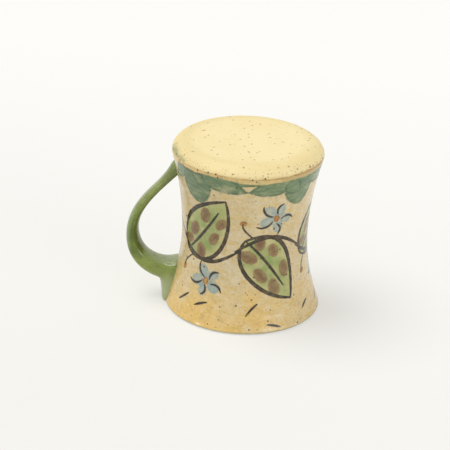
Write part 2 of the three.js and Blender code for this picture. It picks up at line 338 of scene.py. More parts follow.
class Paint:
    """Short ways to add nodes to one material."""

    def __init__(self, name):
        self.material = bpy.data.materials.new(name)
        self.material.use_nodes = True
        self.tree = self.material.node_tree
        self.shader = self.tree.nodes["Principled BSDF"]
        self.place = self.tree.nodes.new("ShaderNodeTexCoord").outputs["Object"]
        self.colour = None

    def put(self, socket, value):
        if isinstance(value, bpy.types.NodeSocket):
            self.tree.links.new(value, socket)
        else:
            socket.default_value = value

    def node(self, kind, settings, inputs):
        made = self.tree.nodes.new(kind)
        for name, value in settings.items():
            setattr(made, name, value)
        for name, value in inputs.items():
            self.put(made.inputs[name], value)
        return made

    def math(self, operation, first, second):
        inputs = {0: first, 1: second}
        return self.node("ShaderNodeMath", {"operation": operation}, inputs).outputs[0]

    def plus(self, first, second):
        return self.math("ADD", first, second)

    def minus(self, first, second):
        return self.math("SUBTRACT", first, second)

    def times(self, first, second):
        return self.math("MULTIPLY", first, second)

    def vector_math(self, operation, first, second=(0.0, 0.0, 0.0)):
        inputs = {0: first, 1: second}
        return self.node("ShaderNodeVectorMath", {"operation": operation}, inputs)

    def span(self, value, low, high, start=0.0, end=1.0):
        """Eases from start to end as value goes from low to high."""
        settings = {"interpolation_type": "SMOOTHSTEP"}
        inputs = {"Value": value, "From Min": low, "From Max": high, "To Min": start, "To Max": end}
        return self.node("ShaderNodeMapRange", settings, inputs).outputs["Result"]

    def mix(self, share, first, second):
        inputs = {0: share, 6: first, 7: second}
        made = self.node("ShaderNodeMix", {"data_type": "RGBA"}, inputs)
        return made.outputs[2]

    def cover(self, share, colour):
        """Lays this share of a colour over the colour so far."""
        self.colour = self.mix(share, self.colour, colour)

    def stretched(self, across, up):
        """Coordinates stretched so that a texture runs round the mug or along its height."""
        inputs = {"Vector": self.place, "Scale": (across, across, up)}
        return self.node("ShaderNodeMapping", {}, inputs).outputs["Vector"]

    def from_axis(self):
        """Distance from the mug's axis in metres."""
        aside = self.vector_math("SUBTRACT", self.place, (AXIS_X * MM, 0.0, 0.0))
        level = self.vector_math("MULTIPLY", aside.outputs["Vector"], (1.0, 1.0, 0.0))
        return self.vector_math("LENGTH", level.outputs["Vector"]).outputs["Value"]

    def across_rings(self):
        """Coordinates that change only with the distance from the mug's axis."""
        return self.node("ShaderNodeCombineXYZ", {}, {"X": self.from_axis()}).outputs["Vector"]

    def along(self, axis):
        """Place along one of the frame's axes in millimetres."""
        parts = self.node("ShaderNodeSeparateXYZ", {}, {0: self.place})
        return self.times(parts.outputs[axis], 1 / MM)

    def noise(self, size, detail=3.0, roughness=0.55, place=None):
        """Noise whose blotches are about this many millimetres wide, from 0 to 1."""
        inputs = {
            "Vector": self.place if place is None else place,
            "Scale": 1 / (size * MM),
            "Detail": detail,
            "Roughness": roughness,
        }
        return self.node("ShaderNodeTexNoise", {}, inputs).outputs["Fac"]

    def specks(self, spacing, radius):
        """Round specks up to this radius, some missing, about this far apart."""
        inputs = {"Vector": self.place, "Scale": 1 / (spacing * MM)}
        cells = self.node("ShaderNodeTexVoronoi", {}, inputs)
        share = radius / spacing
        return self.span(cells.outputs["Distance"], share, SPECK_CORE * share)

    def field(self, name):
        return self.node("ShaderNodeAttribute", {"attribute_name": name}, {}).outputs["Fac"]

    def bump(self, height, strength, distance):
        inputs = {"Height": height, "Strength": strength, "Distance": distance * MM}
        return self.node("ShaderNodeBump", {}, inputs).outputs["Normal"]

    def finish(self, roughness, normal):
        self.put(self.shader.inputs["Base Color"], self.colour)
        self.put(self.shader.inputs["Roughness"], roughness)
        self.put(self.shader.inputs["Normal"], normal)
        return self.material


# Colours

SLIP_OCHRE = srgb("#e3be6c")
SLIP_GOLD = srgb("#d6b566")
SLIP_BUFF = srgb("#cfbc90")
SLIP_PINK = srgb("#d6c5a2")
SLIP_PALE = srgb("#e2d8bc")
SLIP_DULL = srgb("#ad9160")
TOASTED = srgb("#cfa767")
SEAM_BROWN = srgb("#a9783f")
SEAM_BAND = srgb("#ddbe7f")
SEAM_TAN = srgb("#bba267")
LIP_GREY = srgb("#a5a488")
IRON = srgb("#7d5a34")
IRON_DARK = srgb("#523a20")
IRON_WARM = srgb("#8a5c2a")
LINE_DARK = srgb("#2c2418")
LINE_THIN = srgb("#54442d")
SAGE = srgb("#b9b678")
SAGE_DEEP = srgb("#8b9c58")
LEAF_BROWN = srgb("#93744c")
LEAF_BROWN_DEEP = srgb("#715537")
TEAL = srgb("#758963")
TEAL_DEEP = srgb("#3a5836")
BLUE = srgb("#a4aea2")
BLUE_DEEP = srgb("#8b9e9a")
ORANGE = srgb("#bd8740")
ORANGE_DEEP = srgb("#8f5f2c")
CREAM = srgb("#f3e1aa")
CREAM_WARM = srgb("#efda9e")
CREAM_DULL = srgb("#e6d296")
GREEN = srgb("#7f8f37")
GREEN_DEEP = srgb("#566620")
GREEN_THIN_AND_LIT = srgb("#858f50")
GREEN_WIPED_AND_SHEEN = srgb("#a9b184")
GREEN_LIT = srgb("#98a750")
GREEN_PALE = srgb("#9db077")
PAPER_NEAR = srgb("#f2f1ec")
PAPER_FAR = srgb("#fcfbf7")

# Heights between which a colour of the wall comes in
BUFF_HEIGHTS = (26.0, 62.0)
THIN_HEIGHTS = (8.0, 40.0)
BLOTCH_HEIGHTS = (12.0, 42.0)
LIT_FOOT_HEIGHTS = (36.0, 22.0)
GREY_LIP_HEIGHTS = (2.4, 1.2)

# Places along X between which the colours change round the mug; the handle is towards -X
LIT_FOOT_SIDE = (20.0, 50.0)
SAG_NEAR_SIDE = (-12.0, 15.0)
SAG_FAR_SIDE = (46.0, 28.0)
FIRED_SIDE = (-10.0, 46.0)
SCORCHED_SIDE = (22.0, 46.0)
DULL_BASE_SIDE = (0.0, -20.0)

# On the base: depths below its face, and radii, between which a mark comes in
TURNED_DEPTHS = (-0.9, 0.8)
TOASTED_DEPTHS = (3.0, 4.6)
PITTED_DEPTHS = (2.0, 3.4)
SPECKED_DEPTHS = (0.4, 2.6)
DULL_RING_RADII = (29.0, 36.5)
DULL_RING_END_RADII = (42.0, 39.5)
DULL_BASE_RADII = (30.0, 37.0)

# On the handle: heights, and places along X, between which the glaze's colour changes and painted
# light and shade come in
LIT_UPPER_ARM = (48.0, 72.0)
LIT_LOWER_ARM = (34.0, 26.0)
SHADED_LOOP_HEIGHTS = (30.0, 36.0)
TOP_SHEEN_HEIGHTS = (34.0, 30.0)
OUTER_SHEEN_TOP = (62.0, 54.0)
OUTER_SHEEN_FOOT = (32.0, 38.0)
WIPED_TAIL = (25.0, 11.0)
WALL_REFLECTION_SIDE = (-44.0, -30.0)


class Brushed(NamedTuple):
    """How one brushed colour lies: its least cover, its edges in millimetres, its streaks' stretch."""

    name: str
    thin: tuple
    deep: tuple
    cover: float
    ragged: float
    soft: float
    pool: tuple = (-1.8, -0.1)
    drawn: tuple = (1.0, 1.0)


BORDER_DABS = Brushed("teal", TEAL, TEAL_DEEP, 0.75, 1.6, 0.7, drawn=(0.4, 1.1))
BORDER_STROKES = Brushed("teal_over", TEAL, TEAL_DEEP, 0.55, 1.6, 0.7, drawn=(0.5, 0.9))
LEAF_WASH = Brushed("sage", SAGE, SAGE_DEEP, 0.45, 1.4, 0.6, (-1.0, -7.0), (0.4, 0.4))
LEAF_DABS = Brushed("brown", LEAF_BROWN, LEAF_BROWN_DEEP, 0.65, 1.2, 0.5, (-0.6, -3.2), (0.6, 0.6))
FLOWER_PETALS = Brushed("blue", BLUE, BLUE_DEEP, 0.5, 1.8, 0.5)
FLOWER_MIDDLES = Brushed("orange", ORANGE, ORANGE_DEEP, 0.6, 0.8, 0.35)
BRUSH_LINES = Brushed("line", LINE_THIN, LINE_DARK, 0.85, 0.4, 0.18)
BASE_SMUDGE = Brushed("smudge", SAGE, TEAL, 0.45, 1.8, 1.8)


# Materials


def brush_on(paint, brushed):
    """A brushed colour over the colour so far, thicker where the paint gathered at its edges and along
    its streaks.
    """
    edge = paint.minus(paint.noise(1.6, 2.0), 0.5)
    depth = paint.plus(paint.field(brushed.name), paint.times(edge, brushed.ragged))
    inside = paint.span(depth, brushed.soft, -brushed.soft)
    streaks = paint.noise(3.0, 4.0, 0.65, paint.stretched(*brushed.drawn))
    pooling_and_shade = paint.span(depth, *brushed.pool, 0.0, 0.6)
    thick = paint.plus(pooling_and_shade, paint.span(streaks, 0.35, 0.75, 0.0, 0.6))
    colour = paint.mix(thick, brushed.thin, brushed.deep)
    strength = paint.times(inside, paint.span(streaks, 0.25, 0.55, brushed.cover, 1.0))
    paint.cover(strength, colour)


def lay_slip(paint, height):
    """The slip under the brushwork: buff above, yellower below, wiped thin in pale blotches, with
    painted light that makes the lower right paler.
    """
    ragged_height = paint.plus(height, paint.times(paint.noise(17.0, 4.0), 44.0))
    paint.colour = paint.mix(paint.span(ragged_height, *BUFF_HEIGHTS), SLIP_OCHRE, SLIP_BUFF)
    thin = paint.span(paint.noise(14.0, 4.0, 0.6), 0.42, 0.66)
    thin = paint.times(thin, paint.span(height, *THIN_HEIGHTS, 0.3, 0.8))
    paint.cover(thin, SLIP_PINK)
    blotch = paint.span(paint.noise(8.0, 5.0, 0.68), 0.52, 0.72)
    blotch = paint.times(blotch, paint.span(height, *BLOTCH_HEIGHTS, 0.3, 0.6))
    paint.cover(blotch, SLIP_PALE)
    # Painted light: the lower right of the wall is painted paler, to lift the shade that falls there.
    painted_light_foot = paint.span(height, *LIT_FOOT_HEIGHTS, 0.0, 0.28)
    painted_light_foot = paint.times(paint.span(paint.along("X"), *LIT_FOOT_SIDE), painted_light_foot)
    paint.cover(painted_light_foot, SLIP_PALE)
    wiped = paint.noise(2.4, 4.0, 0.6, paint.stretched(0.3, 1.2))
    paint.cover(paint.span(wiped, 0.46, 0.7, 0.0, 0.75), SLIP_GOLD)
    mottled = paint.noise(4.5, 5.0, 0.7)
    paint.cover(paint.span(mottled, 0.52, 0.7, 0.0, 0.4), SLIP_DULL)
    paint.cover(paint.span(mottled, 0.48, 0.3, 0.0, 0.38), SLIP_PALE)
    sandy = paint.noise(1.4, 4.0, 0.75)
    paint.cover(paint.span(sandy, 0.5, 0.72, 0.0, 0.6), SLIP_DULL)
    paint.cover(paint.span(sandy, 0.46, 0.28, 0.0, 0.4), SLIP_PALE)


def lay_seam(paint, height):
    """The base's cream slip over the seam, the faint line that it ends in, and the pits along it."""
    side = paint.along("X")
    stray = paint.times(paint.minus(paint.noise(4.0, 4.0), 0.5), 1.2)
    sag = paint.times(paint.span(side, *SAG_NEAR_SIDE, -0.4, 0.5), paint.span(side, *SAG_FAR_SIDE))
    above_end = paint.minus(height, paint.minus(SLIP_END, paint.plus(stray, sag)))
    paint.cover(paint.span(above_end, 0.1, 0.8), CREAM_DULL)
    line = paint.times(paint.span(above_end, -0.7, -0.1), paint.span(above_end, 0.7, 0.2))
    broken = paint.span(paint.noise(7.0, 3.0, 0.6), 0.35, 0.62, 0.1, 0.6)
    fired = paint.times(broken, paint.span(side, *FIRED_SIDE, 0.5, 1.5))
    paint.cover(paint.times(line, fired), SEAM_BROWN)
    pits = paint.times(paint.specks(3.6, 0.7), paint.span(above_end, -1.6, -0.6))
    paint.cover(pits, IRON_DARK)


def lay_border(paint):
    """The brushed border, and the tan band above it, which is scorched away from the handle."""
    above_line = paint.plus(paint.field("above_line"), paint.times(paint.noise(4.0, 4.0), 1.6))
    paint.cover(paint.span(above_line, -4.5, -1.0, 0.0, 0.7), SEAM_BAND)
    for brushed in (BORDER_DABS, BORDER_STROKES):
        brush_on(paint, brushed)
    bare = paint.span(paint.noise(3.0, 4.0, 0.65), 0.3, 0.65, 0.5, 1.0)
    uncovered = paint.span(above_line, -0.9, 0.0)
    paint.cover(paint.times(uncovered, bare), SEAM_BAND)
    scorched = paint.times(uncovered, paint.span(paint.along("X"), *SCORCHED_SIDE, 0.0, 0.9))
    paint.cover(scorched, SEAM_TAN)


def painted_glaze():
    """Clear glaze over the slip, the border, the brushed motifs and the seam's marks."""
    paint = Paint("painted_glaze")
    height = paint.along("Z")
    lay_slip(paint, height)
    lay_border(paint)
    for brushed in (LEAF_WASH, LEAF_DABS, FLOWER_PETALS, FLOWER_MIDDLES, BRUSH_LINES):
        brush_on(paint, brushed)
    lay_seam(paint, height)
    paint.cover(paint.specks(4.2, 0.42), IRON)
    paint.cover(paint.specks(6.2, 0.66), IRON_DARK)
    # Greyer towards the lip's bottom edge.
    grey_lip = paint.span(paint.plus(height, paint.noise(6.0)), *GREY_LIP_HEIGHTS, 0.0, 0.8)
    paint.cover(grey_lip, LIP_GREY)
    peel = paint.plus(paint.noise(2.2, 2.0), paint.times(paint.noise(9.0), 1.5))
    normal = paint.bump(peel, 0.25, 0.12)
    roughness = paint.span(paint.noise(17.0, 4.0), 0.3, 0.7, 0.14, 0.26)
    return paint.finish(roughness, normal)


def cream_base():
    """Satin cream slip with turning marks, duller in a ring inside its edge and towards the handle's
    side, and specked towards its edge.
    """
    paint = Paint("cream_base")
    paint.colour = paint.mix(paint.span(paint.noise(22.0, 3.0), 0.4, 0.75), CREAM, CREAM_WARM)
    ragged_height = paint.plus(paint.along("Z"), paint.times(paint.noise(4.0, 4.0), 2.0))
    depth = paint.minus(MUG_HEIGHT, ragged_height)
    rings = paint.noise(1.5, 3.0, 0.6, paint.across_rings())
    turning_marks = paint.span(depth, *TURNED_DEPTHS, 0.15, 0.55)
    turning_marks = paint.times(paint.span(rings, 0.48, 0.7), turning_marks)
    paint.cover(turning_marks, CREAM_DULL)
    radius = paint.times(paint.from_axis(), 1 / MM)
    # Duller in a ring inside the edge, fading out again at the edge itself.
    dull_ring = paint.span(radius, *DULL_RING_RADII, 0.0, 0.6)
    dull_ring = paint.times(dull_ring, paint.span(radius, *DULL_RING_END_RADII))
    paint.cover(dull_ring, CREAM_DULL)
    by_handle = paint.span(paint.along("X"), *DULL_BASE_SIDE, 0.0, 0.8)
    by_handle = paint.times(by_handle, paint.span(radius, *DULL_BASE_RADII))
    paint.cover(by_handle, CREAM_DULL)
    paint.cover(paint.span(depth, *TOASTED_DEPTHS, 0.0, 0.2), TOASTED)
    brush_on(paint, BASE_SMUDGE)
    pits = paint.times(paint.specks(3.6, 0.7), paint.span(depth, *PITTED_DEPTHS))
    paint.cover(pits, IRON_DARK)
    gathered = paint.times(paint.specks(1.7, 0.5), paint.span(depth, *SPECKED_DEPTHS, 0.0, 0.55))
    paint.cover(gathered, IRON_WARM)
    paint.cover(paint.times(paint.specks(2.8, 0.42), 0.4), IRON_WARM)
    paint.cover(paint.times(paint.specks(4.7, 0.85), 0.55), IRON_WARM)
    grain = paint.plus(paint.noise(0.7, 2.0), paint.noise(5.0, 3.0))
    normal = paint.bump(grain, 0.15, 0.1)
    roughness = paint.span(paint.noise(6.0), 0.3, 0.7, 0.5, 0.62)
    return paint.finish(roughness, normal)


def green_glaze():
    """Glossy green, deep and thin in patches and pale where it was wiped, with painted shade inside
    the loop's bend and painted light and reflections on its arms and outer faces.
    """
    paint = Paint("green_glaze")
    cloud = paint.noise(16.0, 3.0)
    paint.colour = paint.mix(paint.span(cloud, 0.35, 0.7), GREEN, GREEN_DEEP)
    paint.cover(paint.span(paint.noise(7.0, 3.0), 0.5, 0.8, 0.0, 0.5), GREEN_THIN_AND_LIT)
    ragged_height = paint.plus(paint.along("Z"), paint.times(cloud, 8.0))
    inside_loop = paint.field("inside_loop")
    # Painted light: the upper arm's lit top is painted lighter and greyer.
    paint.cover(paint.span(ragged_height, *LIT_UPPER_ARM, 0.0, 0.45), GREEN_THIN_AND_LIT)
    # Painted light and reflection: the lower arm is painted a lighter green.
    paint.cover(paint.span(ragged_height, *LIT_LOWER_ARM, 0.0, 0.55), GREEN_LIT)
    # Painted shade: the faces inside the loop at its bend are painted deep green.
    pooling_and_shade = paint.span(ragged_height, *SHADED_LOOP_HEIGHTS, 0.0, 0.9)
    pooling_and_shade = paint.times(paint.span(inside_loop, -0.1, 0.6), pooling_and_shade)
    paint.cover(pooling_and_shade, GREEN_DEEP)
    # Painted reflection: the lower arm's top face, facing into the loop, is painted pale.
    painted_top_sheen = paint.span(ragged_height, *TOP_SHEEN_HEIGHTS, 0.0, 0.8)
    painted_top_sheen = paint.times(paint.span(inside_loop, 0.35, 0.75), painted_top_sheen)
    paint.cover(painted_top_sheen, GREEN_PALE)
    # Painted reflection of the wall: that top face is painted paler still next to the wall.
    painted_reflection_by_wall = paint.times(painted_top_sheen, paint.span(paint.along("X"), *WALL_REFLECTION_SIDE, 0.0, 0.7))
    paint.cover(painted_reflection_by_wall, GREEN_WIPED_AND_SHEEN)
    # Painted reflection: the faces turned away from the loop, round the bend, are painted pale.
    painted_outer_sheen = paint.span(ragged_height, *OUTER_SHEEN_FOOT, 0.0, 0.45)
    painted_outer_sheen = paint.times(paint.span(ragged_height, *OUTER_SHEEN_TOP), painted_outer_sheen)
    painted_outer_sheen = paint.times(painted_outer_sheen, paint.span(inside_loop, -0.3, -0.85))
    paint.cover(painted_outer_sheen, GREEN_PALE)
    fine = paint.noise(2.4, 5.0, 0.7)
    paint.cover(paint.span(fine, 0.5, 0.74, 0.0, 0.6), GREEN_DEEP)
    paint.cover(paint.span(fine, 0.48, 0.26, 0.0, 0.25), GREEN_PALE)
    paint.cover(paint.span(ragged_height, *WIPED_TAIL, 0.0, 0.9), GREEN_WIPED_AND_SHEEN)
    paint.cover(paint.times(paint.specks(4.2, 0.45), 0.6), IRON_DARK)
    normal = paint.bump(paint.noise(6.0, 3.0), 0.2, 0.15)
    roughness = paint.span(cloud, 0.3, 0.7, 0.1, 0.18)
    return paint.finish(roughness, normal)


def cream_glaze():
    paint = Paint("cream_glaze")
    paint.colour = paint.mix(paint.span(paint.noise(15.0, 4.0), 0.4, 0.7), CREAM, CREAM_WARM)
    paint.cover(paint.specks(5.0, 0.6), IRON)
    normal = paint.bump(paint.noise(3.0, 3.0), 0.2, 0.12)
    roughness = paint.span(paint.noise(10.0), 0.3, 0.7, 0.14, 0.24)
    return paint.finish(roughness, normal)


# Brush strokes, as distances on the unrolled wall


class Unrolled:
    """Fields over a surface's points: how far each lies outside a brushed colour, in millimetres."""

    def __init__(self, angle, height):
        self.angle = angle
        self.height = height
        self.fields = {}

    def near(self, points, margin):
        """The surface's points near these, and their places in the points' own unrolled sheet."""
        middle = points[:, 0].mean() / UNROLLED_RADIUS
        turn = np.mod(self.angle - middle + math.pi, 2 * math.pi) - math.pi + middle
        sheet = np.stack([turn * UNROLLED_RADIUS, self.height], axis=-1)
        low = points.min(axis=0) - margin
        high = points.max(axis=0) + margin
        inside = ((sheet > low) & (sheet < high)).all(axis=-1)
        return np.flatnonzero(inside), sheet[inside]

    def lower(self, name, places, distance):
        field = self.fields.setdefault(name, np.full(self.angle.shape, FAR_AWAY))
        field[places] = np.minimum(field[places], distance)

    def stroke(self, name, points, width):
        """A brush line through these points, fullest in its middle and tapered at both ends."""
        share = np.linspace(0, 1, len(points))
        swell = (1 - STROKE_TIP) * np.sin(math.pi * share) ** STROKE_FULLNESS
        half = width / 2 * (STROKE_TIP + swell)
        places, spots = self.near(points, width + STROKE_MARGIN)
        distance = np.full(len(spots), FAR_AWAY)
        for start, end, first, last in zip(points[:-1], points[1:], half[:-1], half[1:]):
            t, gap = nearest(spots, start, end)
            distance = np.minimum(distance, gap - (first + (last - first) * t))
        self.lower(name, places, distance)

    def patch(self, name, outline):
        """A filled shape inside a closed outline."""
        places, spots = self.near(outline, PATCH_MARGIN)
        inside = np.zeros(len(spots), bool)
        distance = np.full(len(spots), FAR_AWAY)
        for start, end in zip(outline, np.roll(outline, -1, axis=0)):
            distance = np.minimum(distance, nearest(spots, start, end)[1])
            crosses = (start[1] > spots[:, 1]) != (end[1] > spots[:, 1])
            run, rise = end - start
            if rise:
                reach = start[0] + (spots[:, 1] - start[1]) * run / rise
                inside ^= crosses & (spots[:, 0] < reach)
        self.lower(name, places, np.where(inside, -distance, distance))


def nearest(spots, start, end):
    """Share of the way from start to end that is nearest to each spot, and its distance there."""
    along = end - start
    t = np.clip((spots - start) @ along / max(along @ along, 1e-9), 0, 1)
    return t, np.linalg.norm(spots - start - t[:, None] * along, axis=1)


def bezier(first, second, third, last, steps):
    t = np.linspace(0, 1, steps)[:, None]
    points = (1 - t) ** 3 * first + 3 * t * (1 - t) ** 2 * second
    return points + 3 * t * t * (1 - t) * third + t**3 * last


def evenly_spaced(points):
    """As many points on the same curve, each as far from the next."""
    steps = np.linalg.norm(np.diff(points, axis=0), axis=1)
    along = np.concatenate([[0], np.cumsum(steps)])
    even = np.linspace(0, along[-1], len(points))
    return np.stack([np.interp(even, along, points[:, axis]) for axis in range(2)], -1)


def beside_line(start, end):
    """A function that gives the point at a share of the way from start to end, this far aside."""
    along = end - start
    across = np.array([-along[1], along[0]]) / np.linalg.norm(along)
    return lambda share, aside: start + share * along + aside * across


def leaf_outline(base, tip, width, bend):
    """Both sides and the rib of a pointed leaf from base to tip, its middle pushed aside by bend."""
    at = beside_line(base, tip)
    shoulder, taper = 0.7 * width, 0.54 * width
    left = bezier(base, at(0.1, bend + shoulder), at(0.68, bend + taper), tip, OUTLINE_STEPS)
    right = bezier(tip, at(0.68, bend - taper), at(0.1, bend - shoulder), base, OUTLINE_STEPS)
    rib = bezier(base, at(0.25, bend), at(0.7, bend), tip, OUTLINE_STEPS)
    return left, right, rib


def oval(centre, length, width, turn):
    share = full_turn(OVAL_STEPS)
    x, y = length / 2 * np.cos(share), width / 2 * np.sin(share)
    across = x * math.cos(turn) - y * math.sin(turn)
    up = x * math.sin(turn) + y * math.cos(turn)
    return np.stack([across, up], -1) + np.array(centre, float)


def brush_leaf(wall, base, tip, bend, draw):
    """A large leaf with brown dabs on both sides of its rib, its outline a little off its wash."""
    left, right, rib = leaf_outline(base, tip, LEAF_WIDTH, bend)
    slip = draw.uniform(-0.7, 0.7, 2)
    wall.patch("sage", np.concatenate([left, right[1:-1]]))
    for line, width in zip((left, right, rib[:-3]), LEAF_LINE_WIDTHS):
        wall.stroke("line", line + slip, width)
    run, rise = tip - base
    turn = math.atan2(rise, run)
    for side, dabs in ((left, LEAF_LEFT_DABS), (right[::-1], LEAF_RIGHT_DABS)):
        for dab in dabs:
            length = draw.uniform(9.0, 12.0)
            out = draw.uniform(0.46, 0.55)
            centre = (1 - out) * rib[dab] + out * side[dab]
            width = draw.uniform(0.58, 0.74) * length
            wall.patch("brown", oval(centre, length, width, turn + draw.uniform(-0.7, 0.7)))


def brush_flower(wall, centre, turn, draw):
    """Watery blue petal dabs round an orange middle, each with a dark flick a little off it."""
    size = FLOWER_SIZE
    for petal in range(PETALS):
        angle = turn + petal * 2 * math.pi / PETALS + draw.uniform(-0.15, 0.15)
        out = np.array([math.cos(angle), math.sin(angle)])
        aside = np.array([-out[1], out[0]])
        length = size * draw.uniform(0.85, 1.15)
        width = draw.uniform(0.6, 0.78) * size
        wall.patch("blue", oval(centre + 0.62 * size * out, 0.9 * length, width, angle))
        start = centre + 0.3 * size * out
        early = centre + 0.6 * size * (out + 0.5 * aside)
        late = centre + 0.95 * length * (out + 0.3 * aside)
        flick = bezier(start, early, late, centre + 1.2 * length * out, PETAL_FLICK_STEPS)
        wall.stroke("line", flick + draw.uniform(-0.8, 0.8, 2), FLICK_WIDTH)
    wall.patch("orange", oval(centre, 0.5 * size, 0.42 * size, turn))


def brush_dab(wall, name, start, end, width):
    """One pressed brush mark: round where the brush came down, pointed where it left the wall."""
    start, end = np.array(start, float), np.array(end, float)
    at = beside_line(start, end)
    swell = 0.72 * width
    out = bezier(start, at(0.02, swell), at(0.6, swell), end, OUTLINE_STEPS)
    back = bezier(end, at(0.6, -swell), at(0.02, -swell), start, OUTLINE_STEPS)
    wall.patch(name, np.concatenate([out, back[1:-1]]))


def brush_border(wall, draw):
    """A band under the base: broad dabs, and between them strokes that slant down to each other."""
    spacing = 2 * math.pi / BORDER_GROUPS * UNROLLED_RADIUS
    for group in range(BORDER_GROUPS):
        middle = (group + BORDER_START + draw.uniform(-0.03, 0.03)) * spacing
        foot = (middle - 6, BORDER_TOP - draw.uniform(13, 16))
        brush_dab(wall, "teal", foot, (middle + 10, BORDER_TOP), draw.uniform(16, 19))
        brush_dab(wall, "teal_over", (middle - 8, BORDER_TOP - 2), (middle + 2, BORDER_TOP - 10), 9)
        lowest = (middle + 0.5 * spacing, BORDER_TOP - BORDER_DIP)
        brush_dab(wall, "teal_over", (middle + 5, BORDER_TOP), lowest, draw.uniform(10, 12))
        after = (middle + spacing - 5, BORDER_TOP - 1)
        brush_dab(wall, "teal", after, lowest, draw.uniform(10, 12))
        across = np.linspace(middle, middle + spacing, BORDER_EDGE_STEPS)
        edge = BORDER_EDGE + draw.uniform(-0.8, 0.8, BORDER_EDGE_STEPS)
        wall.stroke("teal", np.stack([across, edge], -1), draw.uniform(5, 6))
    from_handle = np.abs(np.mod(wall.angle - HANDLE_TURN + math.pi, 2 * math.pi) - math.pi)
    bare_turn = BORDER_BARE_TURN - BORDER_BARE_TAPER * (BORDER_TOP - wall.height)
    kept_off = (bare_turn - from_handle) * UNROLLED_RADIUS
    for name in ("teal", "teal_over"):
        wall.fields[name] = np.maximum(wall.fields[name], kept_off)


def brush_vine(wall, draw):
    """A winding stem with a leaf, a flower and a bud at each of its waves but the handle's."""
    half_wave = math.pi / VINE_WAVES * UNROLLED_RADIUS
    share = np.linspace(0, 1, VINE_STEPS)
    for wave in range(2 * VINE_WAVES):
        side = 1 if wave % 2 == 0 else -1
        middle = np.array([(wave + VINE_START) * half_wave, VINE_HEIGHT])
        run = (share - 0.5) * VINE_OVERLAP * half_wave
        rise = side * VINE_SWING * np.sin(math.pi * share)
        wall.stroke("line", middle + np.stack([run, rise], -1), VINE_WIDTH)
        if abs(middle[0] / UNROLLED_RADIUS - HANDLE_TURN) < VINE_BARE_TURN:
            continue
        flip = np.array([1, side])
        lean = np.array([draw.uniform(-2, 2), 0])
        leaf_base = middle + flip * LEAF_BASE
        leaf_tip = middle + flip * LEAF_TIP + lean
        brush_leaf(wall, leaf_base, leaf_tip, side * LEAF_BEND, draw)
        brush_flower(wall, middle + flip * FLOWER_PLACE + lean, draw.uniform(0, 6), draw)
        bud = middle + flip * BUD_PLACE + lean
        stalk_start = middle + flip * BUD_STALK_START
        early, late = bud - flip * (0, 5), bud - flip * (1, 2)
        stalk = bezier(stalk_start, early, late, bud, BUD_STALK_STEPS)
        wall.stroke("line", stalk, BUD_STALK_WIDTH)
        wall.patch("orange", oval(bud, *BUD_SIZE, draw.uniform(0, 3)))


def brush_flicks(wall, draw):
    """Short dark flicks round the foot of the wall."""
    for flick in range(FLICKS):
        middle = (flick + draw.uniform(-0.3, 0.3)) * 2 * math.pi / FLICKS * UNROLLED_RADIUS
        start = np.array((middle, draw.uniform(5, 12)))
        way = draw.uniform(-0.6, 0.9)
        along = draw.uniform(6, 10) * np.array((math.cos(way), math.sin(way)))
        bow = np.array((0, draw.uniform(-1.2, 1.2)))
        early, late = start + 0.3 * along + bow, start + 0.7 * along + bow
        bent = bezier(start, early, late, start + along, FLICK_STEPS)
        wall.stroke("line", bent, FLICK_WIDTH)


def brush_decoration(angle, height):
    """A winding vine with leaves and flowers, under a band of brushed dabs round the base."""
    wall = Unrolled(angle, height)
    draw = np.random.default_rng(DRAW_SEED)
    brush_vine(wall, draw)
    brush_border(wall, draw)
    brush_flicks(wall, draw)
    return wall.fields


# Pieces


def painted_wall(material):
    """The wall with its lip, fine enough on its outside to carry the brushwork."""
    heights = np.append(np.linspace(LIP_HEIGHT, WALL_TOP - SHARP_EDGE, WALL_ROWS - 1), WALL_TOP)
    outside = np.stack([outer_radius(heights), heights], -1)
    inner_heights = np.linspace(WALL_TOP, LIP_HEIGHT, INNER_ROWS)
    inside = np.stack([flare_radius(inner_heights) - WALL_DEPTH, inner_heights], -1)
    turn = np.linspace(0, math.pi, LIP_ROWS + 2)[1:-1]
    lip_middle = outer_radius(LIP_HEIGHT) - WALL_DEPTH / 2
    lip_radii = lip_middle - WALL_DEPTH / 2 * np.cos(turn)
    lip = np.stack([lip_radii, LIP_HEIGHT * (1 - np.sin(turn))], -1)
    grid = turned(np.concatenate([outside, inside, lip]), WALL_COLUMNS, 1.0)
    points = grid.reshape(-1, 3)
    faces = grid_faces(len(grid), WALL_COLUMNS, True)
    if signed_volume(points, faces) < 0:
        faces = faces[:, ::-1]
    nodes = ("wall_glaze", "body_wall")
    piece = finish_piece("painted_wall", points, faces.tolist(), nodes, material)
    angle = full_turn(WALL_COLUMNS)
    angle = np.broadcast_to(angle, (WALL_ROWS, WALL_COLUMNS)).ravel()
    height = np.repeat(heights, WALL_COLUMNS)
    fields = brush_decoration(angle, height)
    dip = LINE_DIP * np.clip(np.cos(angle - LINE_DIP_TURN), 0, 1) ** LINE_DIP_POWER
    fields["above_line"] = height - LINE_HEIGHT + dip + LINE_SWING * np.sin(2 * angle)
    for name, field in fields.items():
        values = np.full(len(points), FAR_AWAY)
        values[: len(field)] = field
        add_field(piece, name, values)


